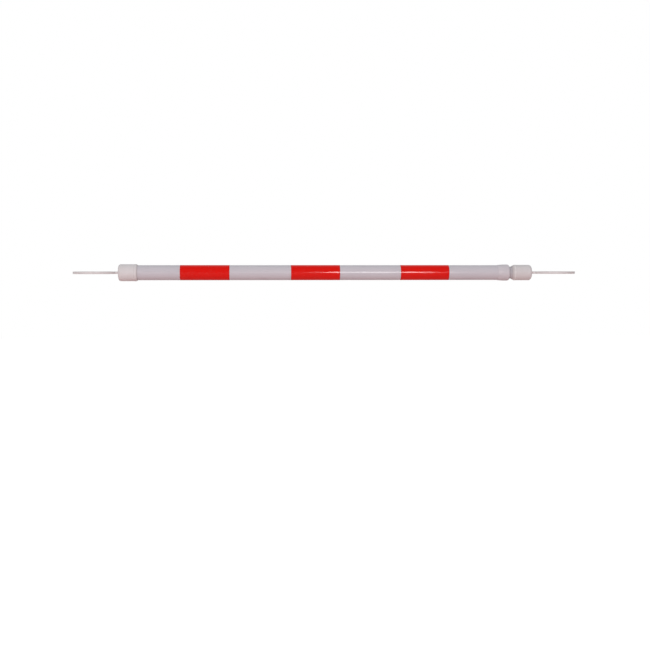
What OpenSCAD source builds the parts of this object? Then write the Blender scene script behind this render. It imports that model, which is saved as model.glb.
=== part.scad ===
// Retractable barrier bar: two telescoping tubes with a loop at each end.
// The origin is the centre of the fixed loop, +X runs along the bar, +Z is up through the loop.

/* [Tubes] */
// Outside diameter of the outer tube
outer_d = 38; // [34:0.5:46]
// Wall of the outer tube
outer_wall = 1.6; // [1.3:0.1:2.4]
// Cut length of the outer tube
outer_l = 986; // [800:1:1400]
// Radial gap between the two tubes, which the guide bush fills
tube_gap = 1.9; // [1.6:0.1:3]
// Wall of the inner tube
inner_wall = 1.6; // [1.3:0.1:2.4]
// How much shorter than the outer tube the inner tube is cut
inner_cut_back = 58; // [20:1:120]
// Length of inner tube that shows between the collar and the sliding cap
stored_gap = 7.5; // [3:0.5:60]

/* [Reflective bands] */
// Width of each red band
band_w = 125; // [80:1:180]
// Thickness of the film
band_t = 0.25; // [0.15:0.05:0.4]
// Bare tube between a cap's mouth and its first band
band_lead = 107.5; // [60:0.5:140]
// Bare tube between the last band and the mouth collar
band_tail = 127.5; // [60:0.5:160]

/* [End caps] */
// Thickness of a cap's end wall
cap_end_t = 6.5; // [5:0.5:9]
// Length of the fixed cap
fixed_cap_l = 47.5; // [36:0.5:70]
// Wall of the fixed cap round its socket
fixed_cap_wall = 2.3; // [2:0.1:4]
// Radius of the fixed cap's end edge
fixed_cap_round = 6; // [3:0.5:7]
// Width of the raised lip round the fixed cap's mouth
lip_w = 7; // [4:0.5:12]
// Height of the raised lip
lip_h = 0.3; // [0.2:0.1:1]
// Length of the sliding cap
slide_cap_l = 51.5; // [40:0.5:70]
// Wall of the sliding cap round its socket
slide_cap_wall = 4.25; // [3.5:0.05:6]
// Radius of the sliding cap's end edge
slide_cap_round = 7.5; // [3:0.5:8]
// Length of the sliding cap's tapered mouth
slide_mouth_l = 6; // [3:0.5:10]
// Wall left at the tip of that mouth
slide_mouth_t = 1; // [0.8:0.1:2]
// Width of the bead behind that mouth
bead_w = 3; // [2:0.5:8]
// Height of the bead
bead_h = 0.3; // [0.2:0.1:0.8]

/* [Loops] */
// Hole of a loop, which drops over a tapered post
loop_bore_d = 90; // [60:0.5:120]
// Width of the flat rim round the hole
loop_rim_w = 9.5; // [7:0.5:14]
// Thickness of a loop
loop_t = 6; // [4:0.5:8]
// Radius of the rim's edges
loop_edge_r = 1.2; // [0.6:0.1:1.8]
// Neck between the rim and the cap's end face
neck_l = 5; // [2.5:0.5:12]
// Radius where the neck flows into the rim
neck_fillet_r = 4; // [2:0.5:4.5]
// Shoulder on each side of the tongue, which seats on the cap's end face
shoulder_w = 2; // [1.5:0.5:3]
// Width of one springy leg of the tongue
leg_w = 4.5; // [3.5:0.5:6]
// Length of a leg's hooked tip behind the end wall
hook_l = 10; // [6:0.5:14]
// How far a hook stands out past the tongue
hook_h = 1.4; // [1:0.1:2]

/* [Mouth collar] */
// Length of the collar
collar_l = 30; // [24:0.5:60]
// Wall of the collar round the tube
collar_wall = 1.65; // [1.4:0.05:3]
// Length of the taper at the collar's thin edge
collar_taper_l = 12; // [4:0.5:14]
// Thickness of that thin edge
collar_edge_t = 0.45; // [0.3:0.05:0.8]
// Length of the lip that traps the guide bush
collar_lip_l = 5; // [4:0.5:8]
// Radius of the collar's front edge
collar_round = 4.4; // [2:0.1:4.5]

/* [Guide bush] */
// Length of the sleeve inside the outer tube
bush_l = 40; // [30:1:90]
// Thickness of the flange at the mouth
bush_flange_t = 2; // [1.5:0.5:4]
// Number of slits that make the sleeve springy
slit_count = 6; // [3:1:10]
// Width of a slit
slit_w = 2; // [1:0.5:3]
// Length of a slit
slit_l = 27; // [10:1:28]

/* [Tail plug] */
// Length of the head that runs in the outer tube
head_l = 22; // [14:0.5:40]
// Length of the spigot inside the inner tube
spigot_l = 28; // [15:1:60]
// Wall of the hollow plug under its groove
plug_wall = 2.6; // [2:0.1:4]
// Thickness of the web that closes the plug
plug_web_t = 3; // [2:0.5:6]
// Bevel on the edges of the head
head_bevel = 1; // [0.5:0.1:1.5]
// Section of the rubber drag ring
drag_ring_t = 3.2; // [2.6:0.1:4]

/* [Fits] */
// Glue line round a piece that is bonded in place
glue_gap = 0.1; // [0.05:0.05:0.2]
// Glue line under a film
film_gap = 0.03; // [0.02:0.01:0.05]
// Clearance of a snap tongue in its slot
snap_gap = 0.2; // [0.1:0.05:0.3]
// Clearance of the hooks in the bore of the inner tube
hook_gap = 0.5; // [0.3:0.1:1]
// Radial clearance between pieces that slide past each other
run_gap = 0.3; // [0.2:0.05:0.4]
// Radial clearance of the drag ring in the outer tube
drag_gap = 0.06; // [0.04:0.01:0.1]
// Clearance of the drag ring in its groove
groove_gap = 0.25; // [0.15:0.05:0.4]

/* [Hidden] */
$fn = 96;
band_count = 3;
overcut = 1;

// Radii, from the outer tube inwards
outer_r = outer_d / 2;
outer_bore_r = outer_r - outer_wall;
inner_r = outer_bore_r - tube_gap;
inner_bore_r = inner_r - inner_wall;
guide_r = inner_r + film_gap + band_t + run_gap;

// Sockets and outsides of the pieces on the tube ends
outer_socket_r = outer_r + glue_gap;
inner_socket_r = inner_r + glue_gap;
fixed_cap_r = outer_socket_r + fixed_cap_wall;
slide_cap_r = inner_socket_r + slide_cap_wall;
collar_r = outer_socket_r + collar_wall;

// Loop and tongue, whose hooks just clear the bore of the inner tube
loop_r = loop_bore_d / 2 + loop_rim_w;
rim_mid_r = loop_r - loop_rim_w / 2;
loop_reach = loop_r + neck_l;
hook_y = sqrt(pow(inner_bore_r - hook_gap, 2) - pow(loop_t / 2, 2));
tongue_w = 2 * (hook_y - hook_h);
neck_w = tongue_w + 2 * shoulder_w;
slot_w = tongue_w + 2 * snap_gap;
slot_t = loop_t + 2 * snap_gap;
leg_slit_w = tongue_w - 2 * leg_w;
tongue_l = cap_end_t + snap_gap + hook_l;

// Stations along the bar
fixed_face_x = loop_reach;
outer_x0 = fixed_face_x + cap_end_t;
outer_x1 = outer_x0 + outer_l;
fixed_mouth_x = fixed_face_x + fixed_cap_l;
collar_x1 = outer_x1 + bush_flange_t + collar_lip_l;
collar_x0 = collar_x1 - collar_l;
slide_mouth_x = collar_x1 + stored_gap;
slide_face_x = slide_mouth_x + slide_cap_l;
slide_loop_x = slide_face_x + loop_reach;
inner_x1 = slide_face_x - cap_end_t;
inner_x0 = inner_x1 - (outer_l - inner_cut_back);

// Bands, evenly spaced over the bare stretch of the outer tube
band_run = collar_x0 - fixed_mouth_x - band_lead - band_tail;
band_pitch = (band_run - band_w) / (band_count - 1);

// Tail plug and its groove
head_r = outer_bore_r - run_gap;
drag_ring_r = outer_bore_r - drag_gap - drag_ring_t / 2;
groove_r = drag_ring_r - drag_ring_t / 2 - groove_gap;
groove_w = drag_ring_t + 2 * groove_gap;
spigot_r = inner_bore_r - glue_gap;
plug_core_r = min(groove_r, spigot_r) - plug_wall;
drag_ring_x = inner_x0 - head_l / 2;

shell_white = "#d3ced2";
cap_cream = "#dcd5d6";
film_red = "#d51d12";
bush_grey = "#8d9094";
rubber_black = "#26262a";

// A profile turned about the bar: its x is the radius, its y the place along the bar
module turned(x) {
    translate([x, 0, 0])
        rotate([0, 90, 0])
            rotate_extrude()
                children();
}

// Rectangle of a profile, between two radii and two places along the bar
module band_of(r0, r1, y0, y1) {
    translate([r0, y0])
        square([r1 - r0, y1 - y0]);
}

// What a rounded outer corner at the origin takes away, where the body lies at -x and +y
module corner_cut(r) {
    difference() {
        translate([-r, -r])
            square(2 * r);
        translate([-r, r])
            circle(r);
    }
}

// Plain tube or sleeve along the bar
module sleeve(x, l, bore_r, outside_r) {
    turned(x)
        band_of(bore_r, outside_r, 0, l);
}

// Film wrapped round a tube of radius r
module film(x, r) {
    color(film_red)
        sleeve(x, band_w, r + film_gap, r + film_gap + band_t);
}

// Bands on the outer tube, counted from the fixed cap
module red_band(i) {
    film(fixed_mouth_x + band_lead + i * band_pitch, outer_r);
}

// Bands on the inner tube, counted from the sliding cap
module inner_band(i) {
    film(slide_mouth_x - band_lead - band_w - i * band_pitch, inner_r);
}

module outer_tube() {
    color(shell_white)
        sleeve(outer_x0, outer_l, outer_bore_r, outer_r);
}

module inner_tube() {
    color(shell_white)
        sleeve(inner_x0, inner_x1 - inner_x0, inner_bore_r, inner_r);
}

// Raised ring round a cap, with both edges rounded
module raised_ring(r, y0, w, h) {
    difference() {
        band_of(r - overcut, r + h, y0, y0 + w);
        translate([r + h, y0])
            corner_cut(h);
        translate([r + h, y0 + w])
            mirror([0, 1])
                corner_cut(h);
    }
}

// Slot through a cap's end wall, which lies at x = 0 and beyond
module tongue_slot() {
    translate([-overcut, -slot_w / 2, -slot_t / 2])
        cube([cap_end_t + 2 * overcut, slot_w, slot_t]);
}

// Cup over the outer tube, with its end face at y = 0
module fixed_cap_profile() {
    difference() {
        union() {
            difference() {
                band_of(0, fixed_cap_r, 0, fixed_cap_l);
                translate([fixed_cap_r, 0])
                    corner_cut(fixed_cap_round);
            }
            raised_ring(fixed_cap_r, fixed_cap_l - lip_w, lip_w, lip_h);
        }
        band_of(0, outer_socket_r, cap_end_t, fixed_cap_l + overcut);
    }
}

module fixed_end_cap() {
    color(cap_cream)
        difference() {
            turned(fixed_face_x)
                fixed_cap_profile();
            translate([fixed_face_x, 0, 0])
                tongue_slot();
        }
}

// Thick cup over the inner tube, with its end face at y = 0 and a tapered, beaded mouth
module slide_cap_profile() {
    bead_y = slide_cap_l - slide_mouth_l - bead_w;
    mouth_r = inner_socket_r + slide_mouth_t;
    difference() {
        union() {
            difference() {
                polygon([[0, 0],
                         [slide_cap_r, 0],
                         [slide_cap_r, slide_cap_l - slide_mouth_l],
                         [mouth_r, slide_cap_l],
                         [0, slide_cap_l]]);
                translate([slide_cap_r, 0])
                    corner_cut(slide_cap_round);
            }
            raised_ring(slide_cap_r, bead_y, bead_w, bead_h);
        }
        band_of(0, inner_socket_r, cap_end_t, slide_cap_l + overcut);
    }
}

module sliding_end_cap() {
    color(cap_cream)
        translate([slide_face_x, 0, 0])
            mirror([1, 0, 0])
                difference() {
                    turned(0)
                        slide_cap_profile();
                    tongue_slot();
                }
}

// Fillet between the rim and one side of the neck
module neck_fillet() {
    fillet_y = neck_w / 2 + neck_fillet_r;
    fillet_x = sqrt(pow(loop_r + neck_fillet_r, 2) - pow(fillet_y, 2));
    tangent_y = fillet_y * loop_r / (loop_r + neck_fillet_r);
    difference() {
        translate([rim_mid_r, 0])
            square([fillet_x - rim_mid_r, tangent_y]);
        translate([fillet_x, fillet_y])
            circle(neck_fillet_r);
    }
}

// Neck, filleted into the rim, and the tongue with its two hooked legs
module tongue_outline() {
    hook_x = loop_reach + cap_end_t + snap_gap;
    tip_x = loop_reach + tongue_l;
    hook_flat_l = hook_h;
    slit_x = loop_reach + leg_slit_w / 2;
    difference() {
        union() {
            translate([rim_mid_r, -neck_w / 2])
                square([loop_reach - rim_mid_r, neck_w]);
            for (side = [0, 1])
                mirror([0, side])
                    neck_fillet();
            translate([loop_reach - overcut, -tongue_w / 2])
                square([hook_x - loop_reach + overcut, tongue_w]);
            polygon([[hook_x, -hook_y],
                     [hook_x + hook_flat_l, -hook_y],
                     [tip_x, hook_h - tongue_w / 2],
                     [tip_x, tongue_w / 2 - hook_h],
                     [hook_x + hook_flat_l, hook_y],
                     [hook_x, hook_y]]);
        }
        translate([slit_x, 0])
            circle(leg_slit_w / 2);
        translate([slit_x, -leg_slit_w / 2])
            square([tongue_l, leg_slit_w]);
        circle(rim_mid_r);
    }
}

// Section of the rim, with all four edges rounded
module rim_section() {
    y1 = loop_t / 2;
    difference() {
        band_of(loop_bore_d / 2, loop_r, -y1, y1);
        for (flip = [0, 1])
            mirror([0, flip]) {
                translate([loop_r, -y1])
                    corner_cut(loop_edge_r);
                translate([loop_bore_d / 2, -y1])
                    mirror([1, 0])
                        corner_cut(loop_edge_r);
            }
    }
}

// Flat loop round the origin, with its tongue along +X
module loop() {
    color(cap_cream)
        union() {
            rotate_extrude()
                rim_section();
            translate([0, 0, -loop_t / 2])
                linear_extrude(loop_t)
                    tongue_outline();
        }
}

module fixed_loop() {
    loop();
}

module sliding_loop() {
    translate([slide_loop_x, 0, 0])
        mirror([1, 0, 0])
            loop();
}

// Tapered sleeve over the mouth of the outer tube, with a lip in front of the guide bush
module mouth_collar() {
    color(shell_white)
        turned(collar_x0)
            difference() {
                polygon([[0, 0],
                         [outer_socket_r + collar_edge_t, 0],
                         [collar_r, collar_taper_l],
                         [collar_r, collar_l],
                         [0, collar_l]]);
                translate([collar_r, collar_l])
                    mirror([0, 1])
                        corner_cut(collar_round);
                band_of(0, outer_socket_r, -overcut, collar_l - collar_lip_l);
                band_of(0, guide_r, 0, collar_l + overcut);
            }
}

// Flanged liner in the mouth of the outer tube, slit from its inner end into springy fingers
module guide_bush() {
    color(bush_grey)
        difference() {
            turned(outer_x1)
                union() {
                    band_of(guide_r, outer_bore_r - glue_gap, -bush_l, bush_flange_t);
                    band_of(guide_r, outer_r, 0, bush_flange_t);
                }
            for (i = [0 : slit_count - 1])
                rotate([i * 360 / slit_count, 0, 0])
                    translate([outer_x1 - bush_l - overcut, -slit_w / 2, 0])
                        cube([slit_l + overcut, slit_w, outer_r]);
        }
}

// Hollow plug bonded in the tail of the inner tube, with a grooved head that the bush stops
module tail_plug() {
    color(bush_grey)
        turned(inner_x0)
            difference() {
                union() {
                    polygon([[0, -head_l],
                             [head_r - head_bevel, -head_l],
                             [head_r, head_bevel - head_l],
                             [head_r, -head_bevel],
                             [head_r - head_bevel, 0],
                             [0, 0]]);
                    band_of(0, spigot_r, -overcut, spigot_l);
                }
                band_of(groove_r, outer_r, -(head_l + groove_w) / 2, -(head_l - groove_w) / 2);
                band_of(0, plug_core_r, -head_l - overcut, spigot_l - plug_web_t);
            }
}

// Rubber ring in the plug's groove, which drags on the bore of the outer tube
module drag_ring() {
    color(rubber_black)
        turned(drag_ring_x)
            translate([drag_ring_r, 0])
                circle(drag_ring_t / 2);
}

outer_tube();
red_band(0);  // red_band_1
red_band(1);  // red_band_2
red_band(2);  // red_band_3
fixed_end_cap();
fixed_loop();
mouth_collar();
guide_bush();
inner_tube();
inner_band(0);  // inner_band_1
inner_band(1);  // inner_band_2
inner_band(2);  // inner_band_3
tail_plug();
drag_ring();
sliding_end_cap();
sliding_loop();
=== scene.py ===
import math

import bmesh
import bpy
from mathutils import Matrix, Vector


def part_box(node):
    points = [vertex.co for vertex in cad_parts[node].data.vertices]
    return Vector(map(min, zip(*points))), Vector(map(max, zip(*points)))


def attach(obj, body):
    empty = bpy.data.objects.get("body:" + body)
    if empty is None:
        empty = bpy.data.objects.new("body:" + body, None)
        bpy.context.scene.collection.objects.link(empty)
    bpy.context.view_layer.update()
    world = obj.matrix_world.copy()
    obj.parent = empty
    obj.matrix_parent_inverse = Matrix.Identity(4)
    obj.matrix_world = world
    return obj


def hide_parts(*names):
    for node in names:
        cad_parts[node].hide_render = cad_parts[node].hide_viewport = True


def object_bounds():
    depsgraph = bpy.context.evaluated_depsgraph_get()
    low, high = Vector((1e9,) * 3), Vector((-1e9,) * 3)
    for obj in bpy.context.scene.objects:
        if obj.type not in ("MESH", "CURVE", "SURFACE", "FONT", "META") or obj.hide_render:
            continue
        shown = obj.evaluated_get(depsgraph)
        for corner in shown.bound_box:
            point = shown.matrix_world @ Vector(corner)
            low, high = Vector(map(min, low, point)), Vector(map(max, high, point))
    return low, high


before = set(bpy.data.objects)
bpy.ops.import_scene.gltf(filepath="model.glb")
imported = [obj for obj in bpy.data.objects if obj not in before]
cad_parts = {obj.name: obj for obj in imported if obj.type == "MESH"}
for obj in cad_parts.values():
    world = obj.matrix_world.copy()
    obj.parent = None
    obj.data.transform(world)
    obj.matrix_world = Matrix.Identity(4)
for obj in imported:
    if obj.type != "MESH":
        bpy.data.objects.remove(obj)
cad_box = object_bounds()


# Outer tube: the long body of the bar, a thin-walled tube of white PVC.
# It is extruded, sawn to length and deburred, and both its ends are glued into other pieces.
MM = 0.001
outer_lo, outer_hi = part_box("outer_tube")
outer_r = outer_hi.z
tube_wall = 1.6 * MM
outer_bore_r = outer_r - tube_wall
deburr = 0.3 * MM
cap_mouth_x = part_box("fixed_end_cap")[1].x
cap_mouth_shade_l = 5 * MM


def turned(outline, closed=True, angle=2 * math.pi, steps=144):
    """Spins an outline of (place along the bar, radius, corner rounding) round the bar's axis."""
    ring_pitch = 25 * MM
    merge_gap = 0.001 * MM
    round_cuts = 8
    shape = bmesh.new()
    corners = [shape.verts.new((x, 0, radius)) for x, radius, rounding in outline]
    for start, end in zip(corners, corners[1:]):
        shape.edges.new((start, end))
    if closed:
        shape.edges.new((corners[-1], corners[0]))
    for corner, (x, radius, rounding) in zip(corners, outline):
        if rounding:
            bmesh.ops.bevel(shape, geom=[corner], offset=rounding, segments=round_cuts, profile=0.5,
                            affect="VERTICES", material=-1)
    # Rings along the long stretches keep the faces from being slivers
    for edge in [e for e in shape.edges if e.calc_length() > 2 * ring_pitch]:
        bmesh.ops.subdivide_edges(shape, edges=[edge], cuts=int(edge.calc_length() / ring_pitch))
    whole = angle >= 2 * math.pi
    bmesh.ops.spin(shape, geom=shape.verts[:] + shape.edges[:], axis=(1, 0, 0), cent=(0, 0, 0),
                   angle=angle, steps=steps, use_merge=whole)
    if not whole:
        bmesh.ops.holes_fill(shape, edges=[e for e in shape.edges if e.is_boundary], sides=0)
    bmesh.ops.remove_doubles(shape, verts=shape.verts, dist=merge_gap)
    bmesh.ops.recalc_face_normals(shape, faces=shape.faces)
    return shape


def mark(shape, layer_name, *corners):
    """Marks the surface round each corner of (place along the bar, radius, reach), for dirt with painted
    shade, or for rubbing with a painted highlight.
    """
    layer = shape.verts.layers.float.new(layer_name)
    for vert in shape.verts:
        spot = Vector((vert.co.x, vert.co.yz.length))
        nearness = [1 - (spot - Vector((x, radius))).length / reach for x, radius, reach in corners]
        vert[layer] = max(0, *nearness)


def place(shape, name, finish, slot, body, *nodes):
    """Makes an object of a finished shape, which rides on its body in place of its solids."""
    sharp_angle = math.radians(35)
    mesh = bpy.data.meshes.new(name)
    shape.to_mesh(mesh)
    shape.free()
    mesh.shade_smooth()
    mesh.set_sharp_from_angle(angle=sharp_angle)
    mesh.materials.append(finish)
    piece = bpy.data.objects.new(name, mesh)
    bpy.context.scene.collection.objects.link(piece)
    piece.modifiers.new("even_shading", "WEIGHTED_NORMAL").keep_sharp = True
    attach(piece, body)
    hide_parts(*nodes)


def linear(colour):
    """Turns an sRGB hex colour into the linear values that a shader takes."""
    parts = [int(colour[i:i + 2], 16) / 255 for i in (1, 3, 5)]
    return (*[p / 12.92 if p <= 0.04045 else ((p + 0.055) / 1.055) ** 2.4 for p in parts], 1)


def add(finish, kind, sockets=None, **settings):
    """Adds a node with its settings. A socket takes a value, or another node's output as a link.
    A Mix node's two colours are its sockets 6 and 7, because its sockets share their names."""
    node = finish.node_tree.nodes.new("ShaderNode" + kind)
    for name, value in settings.items():
        setattr(node, name, value)
    for name, value in (sockets or {}).items():
        if isinstance(value, bpy.types.NodeSocket):
            finish.node_tree.links.new(value, node.inputs[name])
        else:
            node.inputs[name].default_value = value
    return node


def new_finish(name):
    """Starts a material with no nodes."""
    finish = bpy.data.materials.new(name)
    finish.use_nodes = True
    finish.node_tree.nodes.clear()
    return finish


def streaks(finish, spot, size, tilt, patch_w, amount):
    """Long rub marks or scratches of about the given size, turned by the tilt, which lie in patches."""
    # A mapping of this type is turned before it is scaled, so that the scale is a mark's own size
    drawn_out = add(finish, "Mapping", {"Vector": spot, "Rotation": tilt, "Scale": size},
                    vector_type="TEXTURE")
    marks = add(finish, "TexNoise", {"Vector": drawn_out.outputs[0], "Scale": 1, "Detail": 1})
    mark_edge = add(finish, "MapRange", {"Value": marks.outputs[0], "From Min": 0.6, "From Max": 0.72})
    patches = add(finish, "TexNoise", {"Vector": spot, "Scale": 1 / patch_w, "Detail": 1})
    patch_edge = add(finish, "MapRange", {"Value": patches.outputs[0], "From Min": 0.45, "From Max": 0.6,
                                          "To Max": amount})
    both = add(finish, "Math", {0: mark_edge.outputs[0], 1: patch_edge.outputs[0]}, operation="MULTIPLY")
    return both.outputs[0]


def extruded_pvc(name, pale, dull, marked_and_shaded, wear, grime_and_shade):
    """White PVC drawn through a die: satin, faintly clouded, with fine lines along its length.
    The wear sets how strongly the long rub marks show, and the last weight sets how strongly the marked
    darkening near its ends shows, which is painted shade where other pieces meet it, with dirt on the inner
    tube."""
    finish = new_finish(name)
    spot = add(finish, "TexCoord").outputs["Object"]
    cloud_w = 60 * MM
    clouds = add(finish, "TexNoise", {"Vector": spot, "Scale": 1 / cloud_w, "Detail": 3})
    # Die lines are about 0.3 mm apart, drawn here 1.2 mm apart so that they show
    line_w = 1.2 * MM
    line_l = 400 * MM
    drawn_out = add(finish, "Mapping", {"Vector": spot, "Scale": (1 / line_l, 1 / line_w, 1 / line_w)})
    lines = add(finish, "TexNoise", {"Vector": drawn_out.outputs[0], "Scale": 1, "Detail": 2})
    # Rub marks of 40 by 1.5 mm run along the bar, in patches about 150 mm long
    rub_size = (40 * MM, 1.5 * MM, 1.5 * MM)
    patch_l = 150 * MM
    rubs = streaks(finish, spot, rub_size, tilt=(0, 0, 0), patch_w=patch_l, amount=wear)
    # The marked darkening is painted shade where other pieces meet the tube, and on the inner tube also
    # dirt
    dirt_and_shade_map = add(finish, "Attribute", attribute_name="dirt_and_shade")
    dirt_and_shade_weight = add(finish, "Math", {0: dirt_and_shade_map.outputs["Fac"], 1: grime_and_shade}, operation="MULTIPLY")
    soiled_and_shaded = add(finish, "Math", {0: rubs, 1: dirt_and_shade_weight.outputs[0]}, operation="MAXIMUM")
    tone = add(finish, "Math", {0: clouds.outputs[0], 1: lines.outputs[0], 2: 0.2},
               operation="MULTIPLY_ADD")
    body_colour = add(finish, "Mix", {0: tone.outputs[0], 6: linear(pale), 7: linear(dull)},
                      data_type="RGBA")
    colour = add(finish, "Mix", {0: soiled_and_shaded.outputs[0], 6: body_colour.outputs[2], 7: linear(marked_and_shaded)},
                 data_type="RGBA")
    polish = add(finish, "MapRange", {"Value": soiled_and_shaded.outputs[0], "To Min": 0.2, "To Max": 0.5})
    # Fine dust takes the shine where the surface is seen edge on
    edge_on = add(finish, "LayerWeight", {"Blend": 0.5}).outputs["Facing"]
    dusty = add(finish, "MapRange", {"Value": edge_on, "From Min": 0.5, "From Max": 0.9, "To Max": 0.7})
    satin = add(finish, "Math", {0: polish.outputs[0], 1: dusty.outputs[0]}, operation="MAXIMUM")
    relief = add(finish, "Bump", {"Strength": 0.25, "Distance": 0.02 * MM, "Height": lines.outputs[0]})
    shader = add(finish, "BsdfPrincipled", {
        "Base Color": colour.outputs[2], "Roughness": satin.outputs[0], "IOR": 1.53,
        "Normal": relief.outputs[0]})
    add(finish, "OutputMaterial", {"Surface": shader.outputs[0]})
    return finish


tube_pvc = extruded_pvc("extruded_pvc_outer", "#d3cfd6", "#c7c3cb", "#a8a2a4", wear=0.25, grime_and_shade=0.2)
tube_shape = turned([
    (outer_lo.x, outer_bore_r, deburr), (outer_lo.x, outer_r, deburr),
    (cap_mouth_x, outer_r, 0), (cap_mouth_x + cap_mouth_shade_l, outer_r, 0),
    (outer_hi.x, outer_r, deburr), (outer_hi.x, outer_bore_r, deburr)])
# Painted shade on the tube where it goes into the cap's mouth
mark(tube_shape, "dirt_and_shade", (cap_mouth_x, outer_r, cap_mouth_shade_l))
place(tube_shape, "outer_tube_extrusion", tube_pvc, "tube_white", "outer", "outer_tube")


# Red bands: strips of glossy reflective film wrapped round the outer tube by hand.
# Each is glass beads in a clear red resin on a sticky back, and its ends lap behind the bar.
film_t = 0.25 * MM
lap_w = 10 * MM
lap_place = math.radians(205)
lap_steps = 6
film_edge = 2 * MM


def reflective_film(name, bright, deep, scratched, soiled_and_shaded):
    """Red bead film under a clear top coat: deep and glossy, with a fine grain and slight waves.
    Scratches show paler, and dirt darkens the cut edges."""
    finish = new_finish(name)
    spot = add(finish, "TexCoord").outputs["Object"]
    # The beads are about 0.08 mm across, drawn here as 0.7 mm cells so that the grain shows
    bead_w = 0.7 * MM
    beads = add(finish, "TexVoronoi", {"Vector": spot, "Scale": 1 / bead_w})
    cloud_w = 35 * MM
    clouds = add(finish, "TexNoise", {"Vector": spot, "Scale": 1 / cloud_w, "Detail": 2})
    grain = add(finish, "MapRange", {"Value": beads.outputs["Distance"], "From Max": 0.8, "To Max": 0.5})
    tone = add(finish, "Math", {0: clouds.outputs[0], 1: 0.5, 2: grain.outputs[0]},
               operation="MULTIPLY_ADD")
    body_colour = add(finish, "Mix", {0: tone.outputs[0], 6: linear(bright), 7: linear(deep)},
                      data_type="RGBA")
    # Scratches of 25 by 0.2 mm run nearly along the bar, drawn 0.6 mm wide so that they show
    scratch_size = (25 * MM, 0.6 * MM, 0.6 * MM)
    scratch_tilt = (0, 0.04, 0.08)
    scratches = streaks(finish, spot, scratch_size, scratch_tilt, patch_w=cloud_w, amount=0.35)
    used_and_lit_colour = add(finish, "Mix", {0: scratches, 6: body_colour.outputs[2], 7: linear(scratched)},
                      data_type="RGBA")
    dirt_and_shade_map = add(finish, "Attribute", attribute_name="dirt_and_shade")
    dirt_and_shade_weight = add(finish, "Math", {0: dirt_and_shade_map.outputs["Fac"], 1: 0.45}, operation="MULTIPLY")
    colour = add(finish, "Mix", {0: dirt_and_shade_weight.outputs[0], 6: used_and_lit_colour.outputs[2], 7: linear(soiled_and_shaded)},
                 data_type="RGBA")
    wave_w = 14 * MM
    waves = add(finish, "TexNoise", {"Vector": spot, "Scale": 1 / wave_w, "Detail": 1})
    relief = add(finish, "Bump", {"Strength": 0.2, "Distance": 0.06 * MM, "Height": waves.outputs[0]})
    # Fine dust takes the gloss where the surface is seen edge on
    edge_on = add(finish, "LayerWeight", {"Blend": 0.5}).outputs["Facing"]
    gloss = add(finish, "MapRange", {"Value": edge_on, "From Min": 0.45, "From Max": 0.9,
                                     "To Min": 1.0, "To Max": 0.0})
    shader = add(finish, "BsdfPrincipled", {
        "Base Color": colour.outputs[2], "Roughness": 0.45, "IOR": 1.45, "Specular IOR Level": 0.0,
        "Coat Weight": gloss.outputs[0], "Coat Roughness": 0.1, "Coat IOR": 1.58,
        "Normal": relief.outputs[0], "Coat Normal": relief.outputs[0]})
    add(finish, "OutputMaterial", {"Surface": shader.outputs[0]})
    return finish


def film_band(node, lapped):
    """A band of film in the place of its solid, with the lapped end as a second layer on top."""
    low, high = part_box(node)
    over = high.z
    under = over - film_t
    corner = film_t / 3
    shape = turned([
        (low.x, under, 0), (low.x, over, corner), (low.x + film_edge, over, 0),
        (high.x - film_edge, over, 0), (high.x, over, corner), (high.x, under, 0)])
    if lapped:
        lap = turned([
            (low.x, over, 0), (low.x, over + film_t, corner), (low.x + film_edge, over + film_t, 0),
            (high.x - film_edge, over + film_t, 0), (high.x, over + film_t, corner), (high.x, over, 0)],
            angle=lap_w / over, steps=lap_steps)
        bmesh.ops.rotate(lap, cent=(0, 0, 0), matrix=Matrix.Rotation(lap_place, 3, "X"), verts=lap.verts)
        lap_mesh = bpy.data.meshes.new(node + "_lap")
        lap.to_mesh(lap_mesh)
        lap.free()
        shape.from_mesh(lap_mesh)
        bpy.data.meshes.remove(lap_mesh)
    mark(shape, "dirt_and_shade", (low.x, over, film_edge), (high.x, over, film_edge))
    return shape


bead_film = reflective_film("red_reflective_film", "#ec160c", "#dc0f07", "#e4574c", "#8d1410")
for i in (1, 2, 3):
    place(film_band(f"red_band_{i}", lapped=True), f"red_film_{i}", bead_film, "film_red", "outer",
          f"red_band_{i}")


# Fixed end cap: a deep cup that is injection moulded in off-white plastic and glued over the tube.
# A raised lip stiffens its mouth, and a slot through its thick end wall takes the loop's tongue.
cap_lo, cap_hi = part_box("fixed_end_cap")
lip_r = cap_hi.z
lip_h = 0.3 * MM
lip_l = 7 * MM
lip_x = cap_hi.x - lip_l
cap_r = lip_r - lip_h
cap_round = 6 * MM
glue_gap = 0.1 * MM
cap_socket_r = outer_r + glue_gap
cap_floor_x = outer_lo.x
slot_w = 23.6 * MM
slot_t = 6.3 * MM
soft_edge = 0.25 * MM
tight_corner = 0.1 * MM
crease = 1.5 * MM
hollow = 0.25 * MM
lip_bevel_l = 2.5 * MM
lip_bevel_h = 1.3 * MM
lip_shade_reach = 3 * MM


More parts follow.
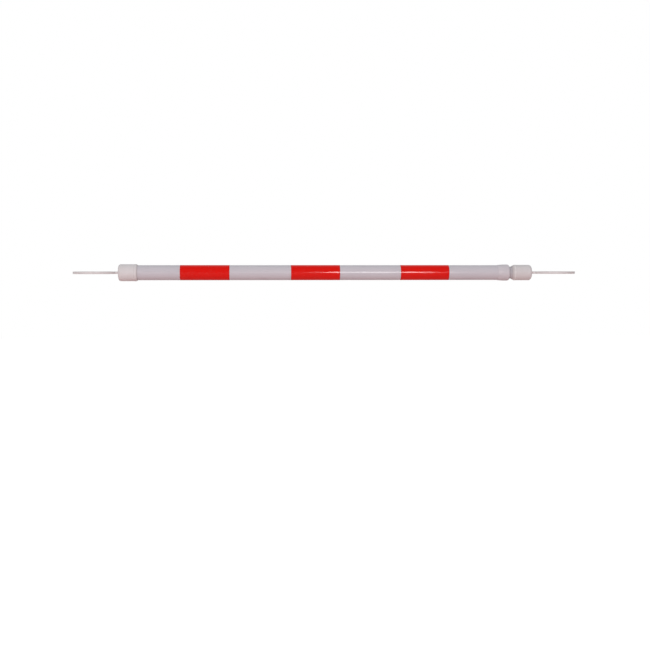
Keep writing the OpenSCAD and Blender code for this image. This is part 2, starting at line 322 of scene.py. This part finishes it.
def moulded_plastic(name, pale, dull, soiled_and_shaded, rubbed_and_lit="#ebe8e9"):
    """Off-white plastic from a spark-eroded mould: satin, with a fine pebble and slight flow clouds.
    Its marked corners are darkened as painted shade, and what stands proud is paler, as rubbing with a
    painted highlight."""
    finish = new_finish(name)
    spot = add(finish, "TexCoord").outputs["Object"]
    flow_w = 22 * MM
    flow = add(finish, "TexNoise", {"Vector": spot, "Scale": 1 / flow_w, "Detail": 3, "Distortion": 0.8})
    # The pebble is about 0.15 mm across, drawn here at 0.5 mm so that it shows
    pebble_w = 0.5 * MM
    pebble = add(finish, "TexNoise", {"Vector": spot, "Scale": 1 / pebble_w, "Detail": 2})
    scuff_w = 3 * MM
    scuffs = add(finish, "TexNoise", {"Vector": spot, "Scale": 1 / scuff_w, "Detail": 4, "Roughness": 0.7})
    scuff_edge = add(finish, "MapRange", {"Value": scuffs.outputs[0], "From Min": 0.62, "From Max": 0.75,
                                          "To Max": 0.22})
    # Scratches of 14 by 0.2 mm lie a little aslant, drawn 0.6 mm wide so that they show
    scratch_size = (14 * MM, 0.6 * MM, 0.6 * MM)
    scratch_tilt = (0, 0.1, 0.25)
    scratches = streaks(finish, spot, scratch_size, scratch_tilt, patch_w=flow_w, amount=0.45)
    worn = add(finish, "Math", {0: scuff_edge.outputs[0], 1: scratches}, operation="MAXIMUM")
    # The marked corners and creases are darkened as painted shade, in the colour of the scuffs
    dirt_and_shade_map = add(finish, "Attribute", attribute_name="dirt_and_shade")
    dirt_and_shade_weight = add(finish, "Math", {0: dirt_and_shade_map.outputs["Fac"], 1: 0.5}, operation="MULTIPLY")
    grime_and_shade = add(finish, "Math", {0: dirt_and_shade_weight.outputs[0], 1: worn.outputs[0]}, operation="MAXIMUM")
    body_colour = add(finish, "Mix", {0: flow.outputs[0], 6: linear(pale), 7: linear(dull)},
                      data_type="RGBA")
    # The marked raised parts are paler, as rubbing with a painted highlight
    rub_and_highlight = add(finish, "Attribute", attribute_name="rub_and_highlight")
    used_and_lit_colour = add(finish, "Mix", {0: rub_and_highlight.outputs["Fac"], 6: body_colour.outputs[2], 7: linear(rubbed_and_lit)},
                      data_type="RGBA")
    colour = add(finish, "Mix", {0: grime_and_shade.outputs[0], 6: used_and_lit_colour.outputs[2], 7: linear(soiled_and_shaded)},
                 data_type="RGBA")
    satin = add(finish, "MapRange", {"Value": pebble.outputs[0], "To Min": 0.3, "To Max": 0.46})
    relief = add(finish, "Bump", {"Strength": 0.2, "Distance": 0.03 * MM, "Height": pebble.outputs[0]})
    shader = add(finish, "BsdfPrincipled", {
        "Base Color": colour.outputs[2], "Roughness": satin.outputs[0], "IOR": 1.5,
        "Normal": relief.outputs[0]})
    add(finish, "OutputMaterial", {"Surface": shader.outputs[0]})
    return finish


def cut_slot(shape, face_x, floor_x):
    """Cuts the tongue's slot through an end wall, from its outer face to the floor of its socket."""
    touch = 0.002 * MM
    cut_gap = 0.0002 * MM
    across = slot_w / 2
    up = slot_t / 2

    def flats():
        return [f for f in shape.faces
                if all(min(abs(v.co.x - face_x), abs(v.co.x - floor_x)) < touch for v in f.verts)]

    for side in (-1, 1):
        for point, normal in (((0, side * across, 0), (0, 1, 0)), ((0, 0, side * up), (0, 0, 1))):
            wall = flats()
            edges = {e for f in wall for e in f.edges}
            verts = {v for f in wall for v in f.verts}
            bmesh.ops.bisect_plane(shape, geom=[*verts, *edges, *wall], dist=cut_gap,
                                   plane_co=point, plane_no=normal)
    middles = [(f, f.calc_center_median()) for f in flats()]
    plugs = [f for f, middle in middles if abs(middle.y) < across and abs(middle.z) < up]
    bmesh.ops.delete(shape, geom=plugs, context="FACES")
    bmesh.ops.bridge_loops(shape, edges=[e for e in shape.edges if e.is_boundary])
    bmesh.ops.recalc_face_normals(shape, faces=shape.faces)


cap_plastic = moulded_plastic("moulded_cap_plastic", "#e2dee0", "#d9d4d6", "#aaa09f")
cap_shape = turned([
    (cap_lo.x, 0, 0), (cap_lo.x, cap_r, cap_round),
    (lip_x - crease, cap_r, 0), (lip_x, cap_r, tight_corner), (lip_x, lip_r, soft_edge),
    (cap_hi.x - lip_bevel_l, lip_r, soft_edge), (cap_hi.x, lip_r - lip_bevel_h, soft_edge),
    (cap_hi.x, cap_socket_r, soft_edge),
    (cap_floor_x, cap_socket_r, 0), (cap_floor_x, 0, 0)], closed=False)
cut_slot(cap_shape, cap_lo.x, cap_floor_x)
# Painted shade in the crease under the lip and round the mouth where the tube goes in
mark(cap_shape, "dirt_and_shade", (lip_x, cap_r, hollow), (cap_hi.x, lip_r - lip_bevel_h, lip_shade_reach))
place(cap_shape, "fixed_cap_moulding", cap_plastic, "cap_white", "outer", "fixed_end_cap")


# Fixed loop: a flat ring that drops over a tapered post, moulded in one with its neck and tongue.
# The tongue snaps through the cap's slot, and its two hooked legs spring open behind the end wall.
loop_lo, loop_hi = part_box("fixed_loop")
loop_t = loop_hi.z - loop_lo.z
flash = 0.1 * MM
bore_r = 45 * MM
rim_r = loop_hi.y - flash
loop_reach = cap_lo.x
neck_y = 13.66 * MM
tongue_y = 11.66 * MM
neck_round = 4 * MM
hook_x = cap_floor_x + 0.2 * MM
hook_y = 13.06 * MM
hook_flat = 1.4 * MM
tip_x = loop_hi.x
tip_y = 10.26 * MM
slit_y = 7.16 * MM
rim_edge = 1.2 * MM
tongue_edge = 0.4 * MM
rim_cuts = 5
tongue_cuts = 2
rim_steps = 90
neck_steps = 8
slit_steps = 12


def drawn_to(shape, start, x, y):
    """Carries the outline on in a straight line, and gives its new end."""
    end = shape.verts.new((x, y, 0))
    shape.edges.new((start, end))
    return end


def swept(shape, start, x, y, angle, steps):
    """Carries the outline on round the centre (x, y), and gives its new end."""
    arc = bmesh.ops.spin(shape, geom=[start], cent=(x, y, 0), axis=(0, 0, 1), angle=angle, steps=steps)
    return arc["geom_last"][0]


def loop_moulding():
    """Loop round the origin with its tongue along +X: half an outline, mirrored and given its thickness."""
    touch = 0.001 * MM
    square = math.radians(60)
    shape = bmesh.new()
    round_y = neck_y + neck_round
    round_x = math.sqrt((rim_r + neck_round) ** 2 - round_y ** 2)
    neck_angle = math.atan2(round_y, round_x)
    start = shape.verts.new((bore_r, 0, 0))
    end = swept(shape, start, 0, 0, math.pi, rim_steps)
    end = drawn_to(shape, end, -rim_r, 0)
    end = swept(shape, end, 0, 0, neck_angle - math.pi, rim_steps)
    end = swept(shape, end, round_x, round_y, math.pi / 2 - neck_angle, neck_steps)
    for x, y in ((loop_reach, neck_y), (loop_reach, tongue_y), (hook_x, tongue_y), (hook_x, hook_y),
                 (hook_x + hook_flat, hook_y), (tip_x, tip_y), (tip_x, slit_y),
                 (loop_reach + slit_y, slit_y)):
        end = drawn_to(shape, end, x, y)
    end = swept(shape, end, loop_reach + slit_y, 0, math.pi / 2, slit_steps)
    shape.edges.new((end, start))
    bmesh.ops.contextual_create(shape, geom=shape.edges[:])
    bmesh.ops.mirror(shape, geom=shape.verts[:] + shape.edges[:] + shape.faces[:],
                     matrix=Matrix.Identity(4), merge_dist=touch, axis="Y")
    bmesh.ops.recalc_face_normals(shape, faces=shape.faces)
    grown = bmesh.ops.extrude_face_region(shape, geom=shape.faces[:])
    upper = [g for g in grown["geom"] if isinstance(g, bmesh.types.BMVert)]
    bmesh.ops.translate(shape, vec=(0, 0, loop_t), verts=upper)
    bmesh.ops.translate(shape, vec=(0, 0, -loop_t / 2), verts=shape.verts)
    bmesh.ops.recalc_face_normals(shape, faces=shape.faces)
    brinks = [e for e in shape.edges if abs(abs(e.verts[0].co.z + e.verts[1].co.z) - loop_t) < touch
              and e.calc_face_angle() > square]
    on_rim = [e for e in brinks if min(v.co.x for v in e.verts) < loop_reach - flash]
    on_tongue = [e for e in brinks if e not in on_rim]
    bmesh.ops.bevel(shape, geom=on_rim, offset=rim_edge, segments=rim_cuts, profile=0.5,
                    affect="EDGES", material=-1)
    on_tongue = [e for e in on_tongue if e.is_valid]
    bmesh.ops.bevel(shape, geom=on_tongue, offset=tongue_edge, segments=tongue_cuts, profile=0.5,
                    affect="EDGES", material=-1)
    # The two halves of the mould leave a thin line of flash round the middle of the edge
    for height in (-2 * flash, 0, 2 * flash):
        bmesh.ops.bisect_plane(shape, geom=shape.verts[:] + shape.edges[:] + shape.faces[:],
                               dist=touch, plane_co=(0, 0, height), plane_no=(0, 0, 1))
    shape.normal_update()
    for vert in [v for v in shape.verts if abs(v.co.z) < touch]:
        vert.co += vert.normal * flash
    # The last of the neck, where it meets the cap, is darkened as painted shade
    for reach in (loop_reach - crease, loop_reach):
        bmesh.ops.bisect_plane(shape, geom=shape.verts[:] + shape.edges[:] + shape.faces[:],
                               dist=touch, plane_co=(reach, 0, 0), plane_no=(1, 0, 0))
    layer = shape.verts.layers.float.new("dirt_and_shade")
    for vert in shape.verts:
        vert[layer] = max(0, 1 - abs(vert.co.x - loop_reach) / crease)
    return shape


loop_plastic = moulded_plastic("moulded_loop_plastic", "#e2dedf", "#d9d4d5", "#aaa09f")
place(loop_moulding(), "fixed_loop_moulding", loop_plastic, "cap_white", "outer", "fixed_loop")


# Mouth collar: a tapered sleeve moulded in the tube's own white PVC and glued over the tube's open end.
# Its rounded lip traps the guide bush and leaves room for the inner tube to slide through.
collar_lo, collar_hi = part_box("mouth_collar")
collar_r = collar_hi.z
collar_edge_r = cap_socket_r + 0.45 * MM
collar_taper_l = 12 * MM
collar_round = 4.4 * MM
collar_blend = 3 * MM
guide_r = 16.08 * MM
collar_step_x = collar_hi.x - 5 * MM
collar_plastic = moulded_plastic("moulded_collar_pvc", "#d8d3d9", "#cdc8cf", "#a29b9c")
collar_shape = turned([
    (collar_lo.x, cap_socket_r, 0), (collar_lo.x, collar_edge_r, soft_edge),
    (collar_lo.x + collar_taper_l, collar_r, collar_blend), (collar_hi.x, collar_r, collar_round),
    (collar_hi.x, guide_r + crease, 0), (collar_hi.x, guide_r, soft_edge), (collar_step_x, guide_r, 0),
    (collar_step_x, cap_socket_r, 0)])
# Painted shade round the inside of the mouth, where the inner tube goes in
mark(collar_shape, "dirt_and_shade", (collar_hi.x, guide_r, crease))
place(collar_shape, "mouth_collar_moulding", collar_plastic, "tube_white", "outer", "mouth_collar")


# Guide bush and tail plug: grey acetal, moulded, and hidden inside the tubes.
# The bush is pressed into the open end of the outer tube, and the plug is glued into the inner tube's tail.
acetal = new_finish("moulded_grey_acetal")
acetal_spot = add(acetal, "TexCoord").outputs["Object"]
# Acetal is slippery and slightly waxy, with the marks of turning and sliding about 0.8 mm apart
turn_mark = 0.8 * MM
acetal_cloud_w = 12 * MM
acetal_marks = add(acetal, "TexNoise", {"Vector": acetal_spot, "Scale": 1 / turn_mark, "Detail": 2})
acetal_cloud = add(acetal, "TexNoise", {"Vector": acetal_spot, "Scale": 1 / acetal_cloud_w, "Detail": 2})
acetal_colour = add(acetal, "Mix", {0: acetal_cloud.outputs[0], 6: linear("#93969a"), 7: linear("#85888c")},
                    data_type="RGBA")
acetal_satin = add(acetal, "MapRange", {"Value": acetal_marks.outputs[0], "To Min": 0.32, "To Max": 0.5})
acetal_relief = add(acetal, "Bump", {"Strength": 0.2, "Distance": 0.02 * MM,
                                     "Height": acetal_marks.outputs[0]})
acetal_shader = add(acetal, "BsdfPrincipled", {
    "Base Color": acetal_colour.outputs[2], "Roughness": acetal_satin.outputs[0], "IOR": 1.48,
    "Normal": acetal_relief.outputs[0]})
add(acetal, "OutputMaterial", {"Surface": acetal_shader.outputs[0]})
for node in ("guide_bush", "tail_plug"):
    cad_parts[node].material_slots[0].material = acetal


# Drag ring: a black nitrile rubber ring, moulded, with a dry matt skin.
# It is stretched into the plug's groove, and its grip on the outer tube holds the bar's length.
rubber = new_finish("moulded_nitrile_rubber")
rubber_spot = add(rubber, "TexCoord").outputs["Object"]
bloom_w = 2.5 * MM
bloom = add(rubber, "TexNoise", {"Vector": rubber_spot, "Scale": 1 / bloom_w, "Detail": 4})
rubber_colour = add(rubber, "Mix", {0: bloom.outputs[0], 6: linear("#222226"), 7: linear("#2f2f33")},
                    data_type="RGBA")
rubber_matt = add(rubber, "MapRange", {"Value": bloom.outputs[0], "To Min": 0.55, "To Max": 0.75})
rubber_relief = add(rubber, "Bump", {"Strength": 0.2, "Distance": 0.03 * MM, "Height": bloom.outputs[0]})
rubber_shader = add(rubber, "BsdfPrincipled", {
    "Base Color": rubber_colour.outputs[2], "Roughness": rubber_matt.outputs[0], "IOR": 1.52,
    "Normal": rubber_relief.outputs[0]})
add(rubber, "OutputMaterial", {"Surface": rubber_shader.outputs[0]})
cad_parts["drag_ring"].material_slots[0].material = rubber


# Inner tube: a thinner tube of the same extruded PVC, which slides in the bush.
# It is drawn in and out, so it has more rub marks, and a darker ring next to the closed collar, which is
# painted shade from the collar together with dirt that the collar wipes off.
inner_lo, inner_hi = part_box("inner_tube")
inner_r = inner_hi.z
inner_bore_r = inner_r - tube_wall
neck_shade_x = collar_hi.x + 2 * MM
neck_shade_l = 12 * MM
slide_pvc = extruded_pvc("extruded_pvc_inner", "#d3cfd6", "#c7c3cb", "#a09a9c", wear=0.5, grime_and_shade=0.5)
inner_shape = turned([
    (inner_lo.x, inner_bore_r, deburr), (inner_lo.x, inner_r, deburr),
    (neck_shade_x - neck_shade_l, inner_r, 0), (neck_shade_x, inner_r, 0), (neck_shade_x + neck_shade_l, inner_r, 0),
    (inner_hi.x, inner_r, deburr), (inner_hi.x, inner_bore_r, deburr)])
# A darker ring next to the collar: painted shade from the collar, with dirt that the collar wipes off
mark(inner_shape, "dirt_and_shade", (neck_shade_x, inner_r, neck_shade_l))
place(inner_shape, "inner_tube_extrusion", slide_pvc, "tube_white", "inner", "inner_tube")


# Inner bands: the same red film round the inner tube, where it comes out as the bar is lengthened.
# Their ends meet without a lap, so that they pass through the bush.
for i in (1, 2, 3):
    place(film_band(f"inner_band_{i}", lapped=False), f"inner_film_{i}", bead_film, "film_red", "inner",
          f"inner_band_{i}")


# Sliding end cap: a thicker cup of the same off-white plastic, glued over the end of the inner tube.
# Its mouth tapers down to the tube, and a low bead runs round it behind the taper.
slide_lo, slide_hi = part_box("sliding_end_cap")
bead_r = slide_hi.z
bead_h = 0.3 * MM
slide_cap_r = bead_r - bead_h
slide_round = 7.4 * MM
taper_l = 6 * MM
taper_x = slide_lo.x + taper_l
taper_dark_reach = 7.2 * MM
bead_w = 3 * MM
bead_highlight_reach = 2.1 * MM
bead_x = taper_x + bead_w / 2
bead_end_x = taper_x + bead_w
slide_socket_r = inner_r + glue_gap
slide_mouth_r = slide_socket_r + 1 * MM
slide_floor_x = inner_hi.x
slide_shape = turned([
    (slide_hi.x, 0, 0), (slide_hi.x, slide_cap_r, slide_round),
    (bead_end_x + crease, slide_cap_r, 0), (bead_end_x, slide_cap_r, tight_corner),
    (bead_end_x, bead_r, tight_corner), (bead_x, bead_r, 0), (taper_x, bead_r, tight_corner),
    (taper_x, slide_cap_r, tight_corner),
    (slide_lo.x, slide_mouth_r, soft_edge), (slide_lo.x, slide_socket_r, tight_corner),
    (slide_floor_x, slide_socket_r, 0), (slide_floor_x, 0, 0)], closed=False)
cut_slot(slide_shape, slide_hi.x, slide_floor_x)
# Painted shade in the crease behind the bead, and the taper darker towards the mouth
mark(slide_shape, "dirt_and_shade", (bead_end_x, slide_cap_r, hollow), (slide_lo.x, slide_mouth_r, taper_dark_reach))
# A paler ring on the bead: a painted highlight, with rubbing
mark(slide_shape, "rub_and_highlight", (bead_x, bead_r, bead_highlight_reach))
slide_plastic = moulded_plastic("moulded_slide_cap_plastic", "#dedadc", "#d5d0d2", "#a69c9b")
place(slide_shape, "sliding_cap_moulding", slide_plastic, "cap_white", "inner", "sliding_end_cap")


# Sliding loop: the same moulding as the fixed loop, the other way round.
# Its tongue snaps into the sliding cap in the same way.
sliding_loop_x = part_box("sliding_loop")[1].x + loop_lo.x
sliding_loop = loop_moulding()
bmesh.ops.scale(sliding_loop, vec=(-1, 1, 1), verts=sliding_loop.verts)
bmesh.ops.translate(sliding_loop, vec=(sliding_loop_x, 0, 0), verts=sliding_loop.verts)
bmesh.ops.recalc_face_normals(sliding_loop, faces=sliding_loop.faces)
place(sliding_loop, "sliding_loop_moulding", loop_plastic, "cap_white", "inner", "sliding_loop")


# Studio: a plain white floor well below the bar, which keeps the bar's soft shadow.
# The floor and the room show as white to the camera and in reflections of what lies behind the bar.
floor_z = -0.58
floor_half = 6
mirror_near_y = 0.2
mirror_far_y = 1.2
floor_shape = bmesh.new()
bmesh.ops.create_grid(floor_shape, x_segments=1, y_segments=1, size=floor_half)
bmesh.ops.translate(floor_shape, vec=(cad_box[1][0] / 2, 0, floor_z), verts=floor_shape.verts)
floor_mesh = bpy.data.meshes.new("studio_floor")
floor_shape.to_mesh(floor_mesh)
floor_shape.free()
floor_paint = new_finish("white_studio_floor")
floor_ray = add(floor_paint, "LightPath")
floor_place = add(floor_paint, "SeparateXYZ", {0: add(floor_paint, "NewGeometry").outputs["Position"]})
floor_far = add(floor_paint, "MapRange", {"Value": floor_place.outputs["Y"], "From Min": mirror_near_y,
                                          "From Max": mirror_far_y})
floor_mirrored = add(floor_paint, "Math", {0: floor_ray.outputs["Is Glossy Ray"], 1: floor_far.outputs[0]},
                     operation="MULTIPLY")
floor_seen = add(floor_paint, "Math", {0: floor_ray.outputs["Is Camera Ray"], 1: floor_mirrored.outputs[0]},
                 operation="MAXIMUM")
floor_shown = add(floor_paint, "Math", {0: floor_seen.outputs[0],
                                        1: floor_ray.outputs["Is Transmission Ray"]}, operation="MAXIMUM")
# The light that it throws back up is warm, as the photograph's is, and gloss shows it darker in front
floor_warm = add(floor_paint, "Mix", {0: floor_ray.outputs["Is Glossy Ray"], 6: linear("#d5b3b0"),
                                      7: linear("#9a807e")}, data_type="RGBA")
floor_body = add(floor_paint, "BsdfDiffuse", {"Color": floor_warm.outputs[2]})
floor_veil = add(floor_paint, "BsdfDiffuse", {"Color": linear("#909090")})
floor_glow = add(floor_paint, "Emission", {"Color": linear("#ffffff"), "Strength": 0.86})
floor_white = add(floor_paint, "AddShader", {0: floor_veil.outputs[0], 1: floor_glow.outputs[0]})
floor_mix = add(floor_paint, "MixShader", {0: floor_shown.outputs[0], 1: floor_body.outputs[0],
                                           2: floor_white.outputs[0]})
add(floor_paint, "OutputMaterial", {"Surface": floor_mix.outputs[0]})
floor_mesh.materials.append(floor_paint)
floor = bpy.data.objects.new("studio_floor", floor_mesh)
bpy.context.scene.collection.objects.link(floor)

room = bpy.data.worlds.new("studio_room")
bpy.context.scene.world = room
room.use_nodes = True
room.node_tree.nodes.clear()
room_light = 0.59
room_back = 0.5
room_front = 0.06
ray = add(room, "LightPath")
way = add(room, "SeparateXYZ", {0: add(room, "TexCoord").outputs["Generated"]})
behind = add(room, "MapRange", {"Value": way.outputs["Y"], "From Min": -0.2, "From Max": 0.8,
                                "To Max": room_back})
mirrored = add(room, "Math", {0: ray.outputs["Is Glossy Ray"], 1: behind.outputs[0]}, operation="MULTIPLY")
seen = add(room, "Math", {0: ray.outputs["Is Camera Ray"], 1: mirrored.outputs[0]}, operation="MAXIMUM")
shown = add(room, "Math", {0: seen.outputs[0], 1: ray.outputs["Is Transmission Ray"]}, operation="MAXIMUM")
lit = add(room, "MapRange", {"Value": ray.outputs["Is Glossy Ray"], "To Min": room_light,
                             "To Max": room_front})
strength = add(room, "Math", {0: shown.outputs[0], 1: lit.outputs[0]}, operation="MAXIMUM")
glow = add(room, "Background", {"Color": linear("#ffffff"), "Strength": strength.outputs[0]})
add(room, "OutputWorld", {"Surface": glow.outputs[0]})


# Lamps: one softbox beside the camera, whose image is the thin bright line along the bar.
# Wide fills in front and behind light the rest, and stay out of the picture and the reflections.
bar_middle = Vector((cad_box[1][0] / 2, 0, 0))


def lamp(name, spot, aim, width, height, power):
    """An area lamp that faces its aim, with its size in metres and its power in watts."""
    data = bpy.data.lights.new(name, "AREA")
    data.shape = "RECTANGLE"
    data.size = width
    data.size_y = height
    data.energy = power
    made = bpy.data.objects.new(name, data)
    made.location = spot
    made.rotation_euler = (Vector(aim) - Vector(spot)).to_track_quat("-Z", "Y").to_euler()
    bpy.context.scene.collection.objects.link(made)
    return made


softbox_spot = Vector((1.026, -2.69, 0.25))
straight_ahead = Vector((softbox_spot.x, 0, softbox_spot.z))
lamp("softbox", softbox_spot, straight_ahead, width=0.538, height=0.6, power=10.5)
for name, spot, power in (("front_fill", (-0.7, -3.0, 0.27), 29.3), ("back_fill", (0.58, 3.0, 0.7), 22)):
    fill = lamp(name, spot, bar_middle, width=3, height=1.6, power=power)
    fill.visible_camera = False
    fill.visible_glossy = False


# Camera: at the height of the bar and a little left of its middle, with the photograph's angle of view.
# It looks slightly down, which puts the bar above the middle of the picture.
lens_mm = 58.15
sensor_mm = 36
camera_spot = Vector((0.4131, -2.6885, 0.0195))
turn = math.radians(3.615)
dip = math.radians(3.27)
camera_data = bpy.data.cameras.new("camera")
camera_data.lens = lens_mm
camera_data.sensor_width = sensor_mm
camera = bpy.data.objects.new("camera", camera_data)
camera.location = camera_spot
camera.rotation_euler = (math.pi / 2 - dip, 0, -turn)
bpy.context.scene.collection.objects.link(camera)
bpy.context.scene.camera = camera
bpy.context.scene.view_settings.view_transform = "Standard"
